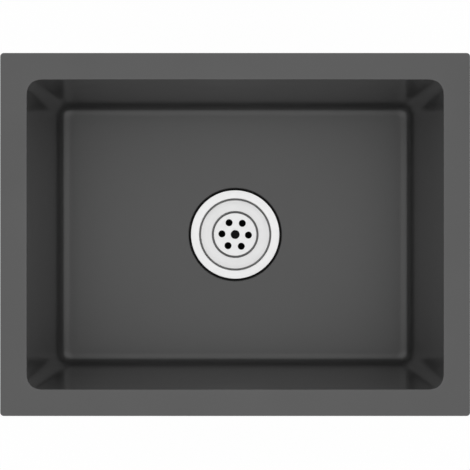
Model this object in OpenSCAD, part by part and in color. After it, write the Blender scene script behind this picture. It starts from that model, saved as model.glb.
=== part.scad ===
// Single-bowl inset kitchen sink with a lift-out basket strainer and screw clamps.
// The origin is the centre of the worktop cut-out, on the worktop's top face.
// +X runs along the long side, -Y is the front and +Z is up. All sizes are in millimetres.

/* [Rim] */
// Length of the rim, left to right
sink_length = 505; // [460:5:620]
// Width of the rim, front to back
sink_width = 390; // [350:5:460]
// Width of the flat rim band round the bowl
rim_band = 28; // [27:1:40]
// Corner radius of the rim's outline
rim_corner_r = 4; // [3:0.5:12]
// Height of the rim's top face above the worktop
rim_rise = 3; // [2.8:0.1:5]
// Bevel of the rim's folded outer edge
rim_edge_bevel = 0.8; // [0.3:0.1:1]
// How far the rim reaches over the worktop from the edge of the cut-out
cutout_overlap = 9; // [8.5:0.5:10]
// Thickness of the pressed sheet
sheet = 1.2; // [0.8:0.1:1.5]
// Clearance between the folded edge and the worktop
edge_clearance = 0.3; // [0.1:0.1:0.6]
// Distance from the edge of the cut-out to the foam seal
seal_setback = 1; // [0.5:0.5:3]
// Distance from the folded edge's inside to the foam seal
seal_inset = 0.8; // [0.4:0.1:2]

/* [Bowl] */
// Depth from the rim's top face to the floor beside the walls
bowl_depth = 200; // [170:5:240]
// Corner radius of the bowl's mouth, seen from above
mouth_corner_r = 15; // [12:1:25]
// Radius of the bend from the rim down into the bowl
mouth_bend_r = 2.4; // [1.6:0.1:3]
// How far the foot of each wall stands inside the bowl's mouth
wall_lean = 8.3; // [4:0.1:12]
// Radius of the bend from the walls to the floor
floor_bend_r = 11.7; // [9:0.1:14]
// Corner radius of the flat floor, seen from above
floor_corner_r = 1.7; // [0.5:0.1:5]
// How far the floor falls towards the drain
floor_fall = 2; // [1:0.5:4]

/* [Drain recess] */
// Diameter of the drain hole
drain_hole_d = 90; // [88.5:0.5:92]
// Diameter of the pressed recess round the drain hole
recess_d = 114.4; // [113:0.2:120]
// Depth of the recess below the floor
recess_depth = 3.5; // [3.2:0.1:5]
// Radius of the lip between the floor and the recess
recess_lip_r = 1.6; // [1.5:0.1:3]

/* [Strainer cup] */
// Diameter of the flange that shows on the bowl's floor
flange_d = 110; // [106:0.5:112]
// Sheet thickness of the drawn cup
cup_sheet = 1; // [0.8:0.1:1.2]
// Inner radius of the cup's neck
neck_r = 43.5; // [42.9:0.1:43.6]
// Radius of the bend from the flange into the neck
neck_bend_r = 1.3; // [1.3:0.1:2]
// Inner radius of the cup's wall below the basket's ledge
cup_wall_r = 41.2; // [40.5:0.1:41.6]
// Depth of the ledge that the basket's rim hangs on
ledge_depth = 3; // [2.8:0.1:4]
// Depth of the top of the stopper's sloping seat
seat_top_depth = 32; // [28:1:40]
// Height of the sloping seat
seat_height = 12; // [10:0.5:16]
// Inner radius of the outlet
outlet_r = 22.3; // [20:0.1:24]
// Length of the outlet's threaded spigot
outlet_length = 18; // [16:1:26]
// Thickness of the gasket between flange and bowl
flange_gasket_t = 1.2; // [0.8:0.1:1.6]

/* [Strainer fixing] */
// Thickness of the rubber gasket under the bowl
sink_gasket_t = 2.5; // [2:0.5:4]
// Thickness of the fibre friction ring
friction_ring_t = 1; // [0.6:0.1:2]
// Height of the lock nut
lock_nut_h = 10; // [8:1:14]
// Outer radius of the lock nut without its lugs
lock_nut_r = 51; // [49:0.5:54]
// Number of lugs round the lock nut
lock_nut_lugs = 8; // [4:1:12]

/* [Basket] */
// Outer radius of the basket's rolled rim
basket_r = 42.8; // [42.2:0.1:42.8]
// Radius of the wire-like bead at the basket's rim
bead_r = 0.85; // [0.7:0.05:0.9]
// Sheet thickness of the basket
basket_sheet = 0.8; // [0.6:0.1:1]
// Radius at the top of the step down to the perforated plate
step_top_r = 28.3; // [27.5:0.1:31]
// Radius of the perforated plate
plate_r = 26.8; // [23.5:0.1:27]
// Depth of the perforated plate below the flange
plate_depth = 9; // [6:0.5:12]
// Depth of the basket's dish at the top of the step
dish_depth = 3.5; // [2:0.5:5]
// Diameter of the six outer drain holes
plate_hole_d = 8; // [6:0.5:10]
// Diameter of the circle that the outer drain holes lie on
plate_hole_pcd = 32.7; // [30:0.1:36]
// Number of outer drain holes
plate_holes = 6; // [3:1:7]
// Turn of the drain holes round the axis, in degrees
plate_turn = -3; // [-30:1:30]
// Diameter of the rubber button in the middle of the plate
button_d = 10.4; // [9.5:0.1:12]
// Diameter of the plate hole that the button grips
button_hole_d = 8; // [7:0.5:9]
// Gap between the rubber stopper and its seat
stopper_gap = 0.5; // [0.3:0.1:1]
// Thickness of the rubber stopper
stopper_t = 5; // [4:0.5:7]
// Radius of the stem that hangs in the outlet's spider
stem_r = 3.2; // [2.6:0.1:3.6]
// Length of the stem below the stopper
stem_length = 42; // [34:1:50]
// Radial clearance of running fits
running_clearance = 0.05; // [0.02:0.01:0.1]

/* [Tailpiece] */
// Outer diameter of the tailpiece tube
tailpiece_d = 38.1; // [36:0.1:40]
// Wall of the tailpiece tube
tailpiece_wall = 1; // [0.8:0.1:1.2]
// Length of the tailpiece below its flange
tailpiece_length = 100; // [60:5:150]
// Thickness of the washer above the tailpiece's flange
tailpiece_washer_t = 2; // [1:0.5:3]
// Outer radius of the coupling nut without its grips
coupling_nut_r = 27.5; // [27:0.5:30]

/* [Sound pads] */
// Thickness of the rubber sound pads
pad_t = 2.5; // [2:0.5:4]
// Height of the wall pads
pad_height = 84; // [60:2:88]
// Depth of the wall pads' upper edge below the worktop
pad_drop = 80; // [74:1:84]
// Margin between the ends of a wall pad and the bowl's corners
pad_margin = 75; // [50:1:110]
// Length of each floor pad, front to back
floor_pad_length = 220; // [120:5:250]
// Width of each floor pad, left to right
floor_pad_width = 110; // [60:5:120]
// Distance of each floor pad's middle from the drain's axis
floor_pad_offset = 138; // [134:1:142]
// Corner radius of the pads
pad_corner_r = 10; // [4:1:20]

/* [Clamps] */
// Distance between the two clamps on each long side
clamp_spacing = 260; // [120:5:300]
// Thickness of the bracket's sheet
bracket_sheet = 2; // [1.5:0.1:2.5]
// Width of the bracket
bracket_width = 30; // [24:1:36]
// Depth of the bracket's tapped tab below the worktop
tab_drop = 27; // [27:0.5:30]
// Distance from the wall's outside, at the bowl's mouth, to the axis of the screw
screw_out = 8.6; // [8.2:0.1:9]
// Diameter of the clamp screw
screw_d = 6; // [5:0.5:6]
// Across-flats width of the screw's head
head_flats = 10; // [9:0.5:11]
// Height of the screw's head
head_h = 4; // [3.5:0.5:5]
// Height of the weld nut under the tab
weld_nut_h = 5; // [4:0.5:6]
// How far the screw lifts the claw
clamp_travel = 25; // [15:1:25]
// Thickness of the claw's steel strip
claw_t = 2.5; // [2:0.1:3]
// Distance from the screw's axis to the claw's tip
claw_reach = 34; // [30:1:40]
// Height of the claw's upturned end
claw_rise = 17; // [12:1:20]
// Clearance between moving flat faces
flat_clearance = 0.1; // [0.05:0.05:0.2]
// Clearance between the claw's side and the bracket
claw_side_clearance = 0.3; // [0.2:0.1:0.5]

/* [Hidden] */
$fn = 96;
hull_fn = 32;
bend_steps = 6;
over = 1;

bowl_length = sink_length - 2 * rim_band;
bowl_width = sink_width - 2 * rim_band;
wall_out = bowl_width / 2 + sheet;
side_out = bowl_length / 2 + sheet;
floor_z = rim_rise - bowl_depth;
lean_top_z = rim_rise - mouth_bend_r;
foot_z = floor_z + floor_bend_r;
lean_angle = atan(wall_lean / (lean_top_z - foot_z));
foot_in = wall_lean + floor_bend_r + floor_corner_r;
mouth_steps = 2;

recess_r = recess_d / 2;
recess_top_z = floor_z - floor_fall;
recess_floor_z = recess_top_z - recess_depth;
recess_under_z = recess_floor_z - sheet;
flat_ring = 2;
seal_corner_r = 2;
least_corner_r = 1;

flange_r = flange_d / 2;
flange_edge = 0.5;
flange_z = recess_floor_z + flange_gasket_t + cup_sheet;
seat_bottom_depth = seat_top_depth + seat_height;
outlet_depth = seat_bottom_depth + outlet_length;
outlet_out_r = outlet_r + cup_sheet;
cup_out_r = cup_wall_r + cup_sheet;

lug_reach = 6;
lug_width = 10;
gasket_margin = 1;
gasket_gap = 0.3;
neck_gap = 0.3;
fixing_bore_r = neck_r + cup_sheet + neck_gap;
nut_relief = 1;

bead_drop = 1;
stopper_sink = 3.5;
stopper_top_depth = seat_top_depth + stopper_sink;
seat_slope = (cup_wall_r - outlet_r) / seat_height;
rubber_edge = 0.6;
stopper_neck_r = 7;
neck_flare = 3;
neck_flare_h = 2;
button_h = 1.2;
stem_flange_r = 9;
stem_flange_h = 1.5;
stem_cover = 10;
stem_top_depth = plate_depth + stem_cover;
groove_depth = 0.7;
groove_h = 4;
groove_bevel = 1;
groove_from_tip = 16;

spider_h = 2;
spider_arm = 3;
spider_ring_w = 2;
spider_drop = 2;
hub_proud = 1;
hub_wall = 3;
hub_r = stem_r + hub_wall;
hub_h = 6;

nut_wall = 2.2;
tube_gap = 1;
tail_flange_gap = 0.3;
coupling_nut_h = 18;
grip_count = 8;
grip_width = 8;
grip_reach = 2;

nut_rim = 2;
nut_flats = screw_d + 2 * nut_rim;
nut_bottom_z = -tab_drop - bracket_sheet - weld_nut_h;
tab_margin = 1.5;
tab_length = screw_out + nut_flats / 2 + tab_margin;
travel_spare = 1;
claw_high_z = nut_bottom_z - travel_spare;
claw_top_z = claw_high_z - clamp_travel;
bracket_face = bracket_sheet / cos(lean_angle) - lean_at(claw_high_z);
claw_half = screw_out - bracket_face - claw_side_clearance;
washer_top_z = claw_top_z - claw_t - flat_clearance;
washer_t = 1.5;
washer_inset = 0.2;
head_top_z = washer_top_z - washer_t - flat_clearance;
screw_proud = 1;
screw_tip_z = -tab_drop + screw_proud;
bracket_bottom_z = head_top_z;
claw_teeth = 3;
tooth_h = 2;

CLAMPS = [
    ["front_left", -1, -1],
    ["front_right", 1, -1],
    ["back_left", -1, 1],
    ["back_right", 1, 1]
];

coated = [0.2, 0.2, 0.21];
bright = [0.86, 0.86, 0.87];
zinc = [0.66, 0.68, 0.7];
black_rubber = [0.07, 0.07, 0.07];
grey_rubber = [0.3, 0.3, 0.31];
white_plastic = [0.88, 0.88, 0.86];
fibre = [0.74, 0.6, 0.42];

// How far the leaning wall stands inside its place at the bowl's mouth, on height z
function lean_at(z) = (lean_top_z - z) * tan(lean_angle);

// Unit normal on the left of the way from a to b
function left_normal(a, b) = [a[1] - b[1], b[0] - a[0]] / norm(b - a);

// Offset of one corner of a path, so that both its sides keep the same thickness
function corner_shift(path, i, t) =
    let (last = len(path) - 1)
    let (before = left_normal(path[max(i - 1, 0)], path[max(i, 1)]))
    let (after = left_normal(path[min(i, last - 1)], path[min(i + 1, last)]))
    (before + after) * t / (1 + before * after);

// Outline of a pressed sheet: the path is its upper face, and t its thickness to the left
function pressed_sheet(path, t) =
    concat(path, [for (i = [len(path) - 1:-1:0]) path[i] + corner_shift(path, i, t)]);

// Points along an arc
function arc(centre, r, start, end, steps) =
    [for (i = [0:steps]) let (a = start + (end - start) * i / steps) centre + r * [cos(a), sin(a)]];

// Rectangle with round corners, centred
module rounded_rect(length, width, corner_r) {
    square([length - 2 * corner_r, width], center = true);
    square([length, width - 2 * corner_r], center = true);
    for (sx = [-1, 1], sy = [-1, 1])
        translate([sx * (length / 2 - corner_r), sy * (width / 2 - corner_r)])
            circle(corner_r);
}

// Flat ring that stands on height z
module flat_ring_at(z, outer_r, inner_r, height) {
    translate([0, 0, z])
        difference() {
            cylinder(r = outer_r, h = height);
            translate([0, 0, -over])
                cylinder(r = inner_r, h = height + 2 * over);
        }
}

// Outline of a ring nut: a disc with square lugs round it
module lugged_disc(r, reach, width, count) {
    circle(r);
    for (i = [0:count - 1])
        rotate(i * 360 / count)
            translate([0, -width / 2])
                square([r + reach, width]);
}

// Foot of one corner of the bowl, with a round edge, and its widest ring on height 0
module corner_foot(bend_r) {
    rotate_extrude($fn = hull_fn)
        polygon(concat(
            [[0, 0]],
            arc([floor_corner_r, 0], bend_r, 0, -90, hull_fn / 4),
            [[0, -bend_r]]
        ));
}

// The bowl's inside, or its outside when it is grown by the sheet: the walls lean in to the floor
module bowl_form(grow, top_z) {
    hull() {
        for (sx = [-1, 1], sy = [-1, 1]) {
            translate([
                sx * (bowl_length / 2 - mouth_corner_r),
                sy * (bowl_width / 2 - mouth_corner_r),
                lean_top_z
            ])
                cylinder(r = mouth_corner_r + grow, h = top_z - lean_top_z, $fn = hull_fn);
            translate([
                sx * (bowl_length / 2 - foot_in),
                sy * (bowl_width / 2 - foot_in),
                foot_z
            ])
                corner_foot(floor_bend_r + grow);
        }
        translate([0, 0, recess_top_z - grow])
            cylinder(r = recess_r + recess_lip_r + flat_ring, h = sheet, $fn = hull_fn);
    }
}

// The rim's band with its bevelled edge, still without the hollow under it
module rim_block() {
    hull() {
        translate([0, 0, edge_clearance])
            linear_extrude(rim_rise - rim_edge_bevel - edge_clearance)
                rounded_rect(sink_length, sink_width, rim_corner_r, $fn = hull_fn);
        translate([0, 0, edge_clearance])
            linear_extrude(rim_rise - edge_clearance)
                rounded_rect(
                    sink_length - 2 * rim_edge_bevel,
                    sink_width - 2 * rim_edge_bevel,
                    rim_corner_r - rim_edge_bevel,
                    $fn = hull_fn
                );
    }
}

// Plate on one angle of the bend from the wall, at 0 degrees, over to the rim, at 90
module mouth_plate(bend_r, angle, height) {
    out = mouth_bend_r - bend_r * cos(angle);
    translate([0, 0, lean_top_z + bend_r * sin(angle)])
        linear_extrude(height)
            rounded_rect(
                bowl_length + 2 * out,
                bowl_width + 2 * out,
                mouth_corner_r + out,
                $fn = hull_fn
            );
}

// What the bend over into the rim opens above the bowl's walls
module mouth_flare() {
    for (i = [0:mouth_steps - 1])
        hull() {
            mouth_plate(mouth_bend_r, i * 90 / mouth_steps, over);
            mouth_plate(mouth_bend_r, (i + 1) * 90 / mouth_steps, over);
        }
}

// Sheet under that bend, which fills the corner between the walls and the rim
module mouth_root() {
    hull() {
        mouth_plate(mouth_bend_r - sheet, 0, sheet / 2);
        mouth_plate(mouth_bend_r - sheet, 90, sheet / 2);
    }
}

// What the press takes out of the floor round the drain, with a rounded lip
module recess_cut() {
    rotate_extrude()
        difference() {
            translate([0, recess_floor_z])
                square([recess_r + recess_lip_r, recess_depth + over]);
            translate([recess_r + recess_lip_r, recess_top_z - recess_lip_r])
                circle(recess_lip_r);
            translate([recess_r, recess_floor_z - over])
                square([2 * recess_lip_r, recess_depth - recess_lip_r + over]);
        }
}

module bowl() {
    color(coated)
        difference() {
            union() {
                difference() {
                    rim_block();
                    linear_extrude(rim_rise - sheet)
                        rounded_rect(
                            sink_length - 2 * sheet,
                            sink_width - 2 * sheet,
                            max(rim_corner_r - sheet, least_corner_r)
                        );
                }
                mouth_root();
                bowl_form(sheet, rim_rise - sheet / 2);
                translate([0, 0, recess_under_z])
                    cylinder(r = recess_r + sheet, h = recess_depth + sheet / 2);
            }
            bowl_form(0, rim_rise + over);
            mouth_flare();
            recess_cut();
            translate([0, 0, recess_under_z - over])
                cylinder(d = drain_hole_d, h = recess_depth + 4 * over);
        }
}

// Foam strip between the rim's underside and the worktop
module rim_seal() {
    seal_out = sheet + seal_inset;
    seal_in = cutout_overlap - seal_setback;
    color(black_rubber)
        linear_extrude(rim_rise - sheet)
            difference() {
                rounded_rect(
                    sink_length - 2 * seal_out,
                    sink_width - 2 * seal_out,
                    seal_corner_r
                );
                rounded_rect(
                    sink_length - 2 * seal_in,
                    sink_width - 2 * seal_in,
                    seal_corner_r
                );
            }
}

// Sound pad on a leaning wall: it faces +Y, and y = 0 is the wall's place at the bowl's mouth
module wall_pad(length) {
    middle_z = -pad_drop - pad_height / 2;
    translate([0, -lean_at(middle_z), middle_z])
        rotate([-lean_angle, 0, 0])
            translate([0, pad_t, 0])
                rotate([90, 0, 0])
                    linear_extrude(pad_t)
                        rounded_rect(length, pad_height, pad_corner_r);
}

// The same pad turned to its side of the bowl, whose wall stands wall_place from the middle
module turned_pad(turn, wall_place, wall_length) {
    color(grey_rubber)
        rotate([0, 0, turn])
            translate([0, wall_place, 0])
                wall_pad(wall_length - 2 * pad_margin);
}

module pad_back() {
    turned_pad(0, wall_out, bowl_length);
}

module pad_front() {
    turned_pad(180, wall_out, bowl_length);
}

module pad_left() {
    turned_pad(90, side_out, bowl_width);
}

module pad_right() {
    turned_pad(-90, side_out, bowl_width);
}

// Two pads under the floor, one on each side of the drain, cut to the floor's fall
module floor_pads() {
    color(grey_rubber)
        difference() {
            intersection() {
                for (sx = [-1, 1])
                    translate([sx * floor_pad_offset, 0, recess_top_z - sheet - 2 * pad_t])
                        linear_extrude(floor_fall + 4 * pad_t)
                            rounded_rect(floor_pad_width, floor_pad_length, pad_corner_r);
                translate([0, 0, -pad_t])
                    bowl_form(sheet, 0);
            }
            bowl_form(sheet, 0);
        }
}

// Deep-drawn cup: flange, neck, ledge for the basket, wall, sloping seat and outlet
module strainer_cup() {
    path = concat(
        [[flange_r, 0]],
        arc([neck_r + neck_bend_r, -neck_bend_r], neck_bend_r, 90, 180, bend_steps),
        [
            [neck_r, -ledge_depth],
            [cup_wall_r, -ledge_depth],
            [cup_wall_r, -seat_top_depth],
            [outlet_r, -seat_bottom_depth],
            [outlet_r, -outlet_depth]
        ]
    );
    color(bright)
        translate([0, 0, flange_z])
            rotate_extrude()
                difference() {
                    polygon(pressed_sheet(path, cup_sheet));
                    polygon([
                        [flange_r - flange_edge, 0],
                        [flange_r, -flange_edge],
                        [flange_r + over, -flange_edge],
                        [flange_r + over, over],
                        [flange_r - flange_edge, over]
                    ]);
                }
}

// Rubber ring under the flange: its edge shows as a black line round the strainer
module flange_gasket() {
    color(black_rubber)
        flat_ring_at(
            recess_floor_z,
            recess_r - gasket_gap,
            drain_hole_d / 2 + gasket_margin,
            flange_gasket_t
        );
}

module sink_gasket() {
    color(black_rubber)
        flat_ring_at(
            recess_under_z - sink_gasket_t,
            lock_nut_r + gasket_margin,
            fixing_bore_r,
            sink_gasket_t
        );
}

module friction_ring() {
    color(fibre)
        flat_ring_at(
            recess_under_z - sink_gasket_t - friction_ring_t,
            lock_nut_r,
            fixing_bore_r,
            friction_ring_t
        );
}

// Lugged ring nut that pulls the cup down onto the bowl
module lock_nut() {
    top_z = recess_under_z - sink_gasket_t - friction_ring_t;
    color(zinc)
        translate([0, 0, top_z - lock_nut_h])
            difference() {
                linear_extrude(lock_nut_h)
                    lugged_disc(lock_nut_r, lug_reach, lug_width, lock_nut_lugs);
                translate([0, 0, -over])
                    cylinder(r = cup_out_r + running_clearance, h = lock_nut_h + 2 * over);
                translate([0, 0, lock_nut_h - nut_relief])
                    cylinder(r = fixing_bore_r, h = nut_relief + over);
            }
}

// Welded spider in the outlet: its hub guides the basket's stem
module outlet_spider() {
    arm_z = hub_h - hub_proud - spider_h;
    arm_span = 2 * outlet_r - spider_ring_w;
    color(bright)
        translate([0, 0, flange_z - seat_bottom_depth - spider_drop - hub_h]) {
            difference() {
                union() {
                    cylinder(r = hub_r, h = hub_h);
                    translate([0, 0, arm_z])
                        for (a = [0, 90])
                            rotate([0, 0, a])
                                translate([0, 0, spider_h / 2])
                                    cube([arm_span, spider_arm, spider_h], center = true);
                }
                translate([0, 0, -over])
                    cylinder(r = stem_r + running_clearance, h = hub_h + 2 * over);
            }
            flat_ring_at(arm_z, outlet_r, outlet_r - spider_ring_w, spider_h);
        }
}

module tailpiece_washer() {
    color(white_plastic)
        flat_ring_at(
            flange_z - outlet_depth - tailpiece_washer_t,
            outlet_out_r,
            tailpiece_d / 2 - tailpiece_wall,
            tailpiece_washer_t
        );
}

// Flanged tube that takes the waste away
module tailpiece() {
    bore_r = tailpiece_d / 2 - tailpiece_wall;
    path = [[outlet_out_r - tail_flange_gap, 0], [bore_r, 0], [bore_r, -tailpiece_length]];
    color(bright)
        translate([0, 0, flange_z - outlet_depth - tailpiece_washer_t])
            rotate_extrude()
                polygon(pressed_sheet(path, tailpiece_wall));
}

// Union nut that holds the tailpiece's flange against the outlet
module coupling_nut() {
    shoulder_z = flange_z - outlet_depth - tailpiece_washer_t - tailpiece_wall;
    color(white_plastic)
        translate([0, 0, shoulder_z - nut_wall])
            difference() {
                linear_extrude(coupling_nut_h)
                    lugged_disc(coupling_nut_r, grip_reach, grip_width, grip_count);
                translate([0, 0, -over])
                    cylinder(r = tailpiece_d / 2 + tube_gap, h = nut_wall + 2 * over);
                translate([0, 0, nut_wall])
                    cylinder(r = outlet_out_r + running_clearance, h = coupling_nut_h);
            }
}

// Pressed dish of the basket, with its rolled rim and perforated plate
module basket_dish() {
    bead_depth = bead_drop + bead_r;
    path = [
        [basket_r - bead_r, -bead_depth + basket_sheet / 2],
        [step_top_r, -dish_depth],
        [plate_r, -plate_depth],
        [0, -plate_depth]
    ];
    color(bright)
        translate([0, 0, flange_z])
            difference() {
                union() {
                    rotate_extrude()
                        polygon(pressed_sheet(path, basket_sheet));
                    rotate_extrude()
                        translate([basket_r - bead_r, -bead_depth])
                            circle(bead_r);
                }
                for (i = [0:plate_holes - 1])
                    rotate([0, 0, plate_turn + i * 360 / plate_holes])
                        translate([plate_hole_pcd / 2, 0, -plate_depth - basket_sheet - over])
                            cylinder(d = plate_hole_d, h = basket_sheet + 2 * over);
                translate([0, 0, -plate_depth - basket_sheet - over])
                    cylinder(d = button_hole_d, h = basket_sheet + 2 * over);
            }
}

// Rubber stopper: button, neck and sloping plug in one moulding
module basket_stopper() {
    plate_under = -plate_depth - basket_sheet;
    top = -stopper_top_depth;
    bottom = top - stopper_t;
    top_r = cup_wall_r - (stopper_top_depth - seat_top_depth) * seat_slope - stopper_gap;
    bottom_r = top_r - stopper_t * seat_slope;
    edge_r = top_r - rubber_edge * seat_slope;
    outline = [
        [0, -plate_depth + button_h],
        [button_d / 2 - rubber_edge, -plate_depth + button_h],
        [button_d / 2, -plate_depth + button_h - rubber_edge],
        [button_d / 2, -plate_depth],
        [button_hole_d / 2, -plate_depth],
        [button_hole_d / 2, plate_under],
        [stopper_neck_r, plate_under],
        [stopper_neck_r, top + neck_flare_h],
        [stopper_neck_r + neck_flare, top],
        [edge_r - rubber_edge, top],
        [edge_r, top - rubber_edge],
        [bottom_r, bottom],
        [stem_r + running_clearance, bottom],
        [stem_r + running_clearance, -stem_top_depth],
        [0, -stem_top_depth]
    ];
    color(black_rubber)
        translate([0, 0, flange_z])
            rotate_extrude()
                polygon(outline);
}

// Turned stem: a flange under the stopper, a parking groove and a rounded tip
module basket_stem() {
    flange_top = -stopper_top_depth - stopper_t;
    flange_low = flange_top - stem_flange_h;
    tip = flange_low - stem_length;
    groove_low = tip + groove_from_tip;
    groove_top = groove_low + groove_h;
    groove_r = stem_r - groove_depth;
    outline = concat(
        [
            [0, -stem_top_depth],
            [stem_r, -stem_top_depth],
            [stem_r, flange_top],
            [stem_flange_r, flange_top],
            [stem_flange_r, flange_low],
            [stem_r, flange_low],
            [stem_r, groove_top],
            [groove_r, groove_top - groove_bevel],
            [groove_r, groove_low + groove_bevel],
            [stem_r, groove_low]
        ],
        arc([0, tip + stem_r], stem_r, 0, -90, bend_steps)
    );
    color(zinc)
        translate([0, 0, flange_z])
            rotate_extrude()
                polygon(outline);
}

// Puts a clamp's piece on its wall: local +Y points outwards, +X to the middle of the side
module at_clamp(c) {
    translate([c[1] * clamp_spacing / 2, c[2] * wall_out, 0])
        mirror([c[1] > 0 ? 1 : 0, 0, 0])
            mirror([0, c[2] < 0 ? 1 : 0, 0])
                children();
}

// Folded bracket: its back is welded to the leaning wall, and its level tab carries the weld nut
module clamp_bracket(c) {
    path = [
        [tab_length, -tab_drop],
        [-lean_at(-tab_drop), -tab_drop],
        [-lean_at(bracket_bottom_z), bracket_bottom_z]
    ];
    color(zinc)
        at_clamp(c)
            difference() {
                translate([-bracket_width / 2, 0, 0])
                    rotate([90, 0, 90])
                        linear_extrude(bracket_width)
                            polygon(pressed_sheet(path, bracket_sheet));
                translate([0, screw_out, -tab_drop - bracket_sheet - over])
                    cylinder(d = screw_d + 2 * running_clearance, h = bracket_sheet + 2 * over);
            }
}

// Square weld nuts under the four tabs
module weld_nuts() {
    color(zinc)
        for (c = CLAMPS)
            at_clamp(c)
                translate([0, screw_out, nut_bottom_z])
                    difference() {
                        translate([-nut_flats / 2, -nut_flats / 2, 0])
                            cube([nut_flats, nut_flats, weld_nut_h]);
                        translate([0, 0, -over])
                            cylinder(d = screw_d + 2 * running_clearance, h = weld_nut_h + 2 * over);
                    }
}

module clamp_washer(c) {
    color(zinc)
        at_clamp(c)
            translate([0, screw_out, 0])
                flat_ring_at(
                    washer_top_z - washer_t,
                    claw_half - washer_inset,
                    screw_d / 2 + running_clearance,
                    washer_t
                );
}

// Hexagon screw that is driven from below and climbs through the weld nut
module clamp_screw(c) {
    color(zinc)
        at_clamp(c)
            translate([0, screw_out, 0]) {
                translate([0, 0, head_top_z - head_h])
                    cylinder(d = head_flats / cos(30), h = head_h, $fn = 6);
                translate([0, 0, head_top_z - head_h / 2])
                    cylinder(d = screw_d, h = screw_tip_z - head_top_z + head_h / 2);
            }
}

// Steel claw: a square heel stops its swing on the bracket, and its teeth bite the worktop
module clamp_claw(c) {
    tooth_w = 2 * claw_half / claw_teeth;
    tooth = [[-over, 0], [0, 0], [tooth_h, tooth_w / 2], [0, tooth_w], [-over, tooth_w]];
    color(zinc)
        at_clamp(c)
            translate([0, screw_out, claw_top_z - claw_t]) {
                difference() {
                    linear_extrude(claw_t) {
                        circle(claw_half);
                        translate([0, -claw_half])
                            square([claw_reach, 2 * claw_half]);
                        translate([-claw_half, 0])
                            square(claw_half);
                    }
                    translate([0, 0, -over])
                        cylinder(d = screw_d + 2 * running_clearance, h = claw_t + 2 * over);
                }
                translate([claw_reach, 0, 0])
                    rotate([0, -90, 0])
                        linear_extrude(claw_t) {
                            translate([0, -claw_half])
                                square([claw_t + claw_rise - tooth_h, 2 * claw_half]);
                            for (i = [0:claw_teeth - 1])
                                translate([claw_t + claw_rise - tooth_h, -claw_half + i * tooth_w])
                                    polygon(tooth);
                        }
            }
}

bowl();
rim_seal();
pad_front();
pad_back();
pad_left();
pad_right();
floor_pads();
strainer_cup();
flange_gasket();
sink_gasket();
friction_ring();
lock_nut();
outlet_spider();
tailpiece_washer();
coupling_nut();
tailpiece();
basket_dish();
basket_stopper();
basket_stem();
weld_nuts();
for (c = CLAMPS) {
    clamp_bracket(c);
    clamp_washer(c);
    clamp_screw(c);
    clamp_claw(c);
}
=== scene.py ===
import bmesh
import bpy
import numpy as np
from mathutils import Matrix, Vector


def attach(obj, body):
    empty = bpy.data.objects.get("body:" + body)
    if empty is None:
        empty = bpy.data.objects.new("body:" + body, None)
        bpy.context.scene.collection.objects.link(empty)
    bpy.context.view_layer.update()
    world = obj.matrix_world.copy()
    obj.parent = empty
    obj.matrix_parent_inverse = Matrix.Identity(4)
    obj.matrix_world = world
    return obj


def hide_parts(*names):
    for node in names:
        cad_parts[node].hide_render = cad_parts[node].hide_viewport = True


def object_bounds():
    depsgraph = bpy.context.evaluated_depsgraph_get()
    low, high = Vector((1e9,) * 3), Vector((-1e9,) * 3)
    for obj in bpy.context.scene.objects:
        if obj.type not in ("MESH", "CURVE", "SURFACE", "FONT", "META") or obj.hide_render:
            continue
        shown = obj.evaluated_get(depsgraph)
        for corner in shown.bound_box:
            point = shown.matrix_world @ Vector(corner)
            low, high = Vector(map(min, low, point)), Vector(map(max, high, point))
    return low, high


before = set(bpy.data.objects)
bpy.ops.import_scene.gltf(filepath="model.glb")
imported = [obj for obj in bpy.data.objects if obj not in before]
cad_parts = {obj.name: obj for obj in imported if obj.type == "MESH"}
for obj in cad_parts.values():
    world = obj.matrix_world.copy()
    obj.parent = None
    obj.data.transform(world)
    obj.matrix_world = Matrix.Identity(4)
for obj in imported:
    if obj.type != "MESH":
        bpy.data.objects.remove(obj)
cad_low, cad_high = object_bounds()


# The bowl: rim, walls, floor and drain recess, deep-drawn from one 1.2 mm stainless sheet. Inside
# and on the rim it has a dark gun-metal coat with a fine satin; outside it is sprayed against noise.

MM = 0.001
SINK = (505.0, 390.0)
SHEET = 1.2
BAND = 28.0
RIM_TOP = 3.0
FLOOR = -197.0
FALL = 2.0
DRAIN_EDGE = 60.8


def walk_round(long_steps=72, short_steps=56, corner_steps=18):
    """One tour round a rectangle with round corners, anticlockwise from the lower end of the right side.
    On a side the place runs from -1 to 1 and the outward angle stands still; on a corner the place
    stands still and the angle turns by 90 degrees."""
    side, turn, top = (np.arange(n) / n for n in (short_steps, corner_steps, long_steps))
    ones, corner = np.ones_like, np.ones(corner_steps)
    place_x = [ones(side), corner, 1 - 2 * top, -corner, -ones(side), -corner, 2 * top - 1, corner]
    place_y = [2 * side - 1, corner, ones(top), corner, 1 - 2 * side, -corner, -ones(top), -corner]
    runs = [0 * side, turn, 1 + 0 * top, 1 + turn, 2 + 0 * side, 2 + turn, 3 + 0 * top, 3 + turn]
    return np.concatenate(place_x), np.concatenate(place_y), np.concatenate(runs) * np.pi / 2


def rounded_rows(rows, size=SINK, walk=walk_round(), power=2.0):
    """Rows of points on rectangles with round corners: each row is (inset, corner radius, height). A
    point is the corner's centre, which its place on the side scales, plus the radius in its angle. The
    corner is |x|^power + |y|^power = radius^power: at 2 a circle, and above it eases into its sides."""
    inset, corner, height = np.array(rows, float).T[:, :, None]
    place_x, place_y, angle = walk
    cos_a, sin_a = (np.sign(f) * np.abs(f) ** (2 / power) for f in (np.cos(angle), np.sin(angle)))
    x = place_x * (size[0] / 2 - inset - corner) + corner * cos_a
    y = place_y * (size[1] / 2 - inset - corner) + corner * sin_a
    return np.stack([x, y, height + 0 * x], axis=-1)


def quarter(start, end, steps):
    """Sine and cosine of the angles of an arc, start to end in degrees."""
    angle = np.radians(np.linspace(start, end, steps + 1))
    return np.sin(angle), np.cos(angle)


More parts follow.
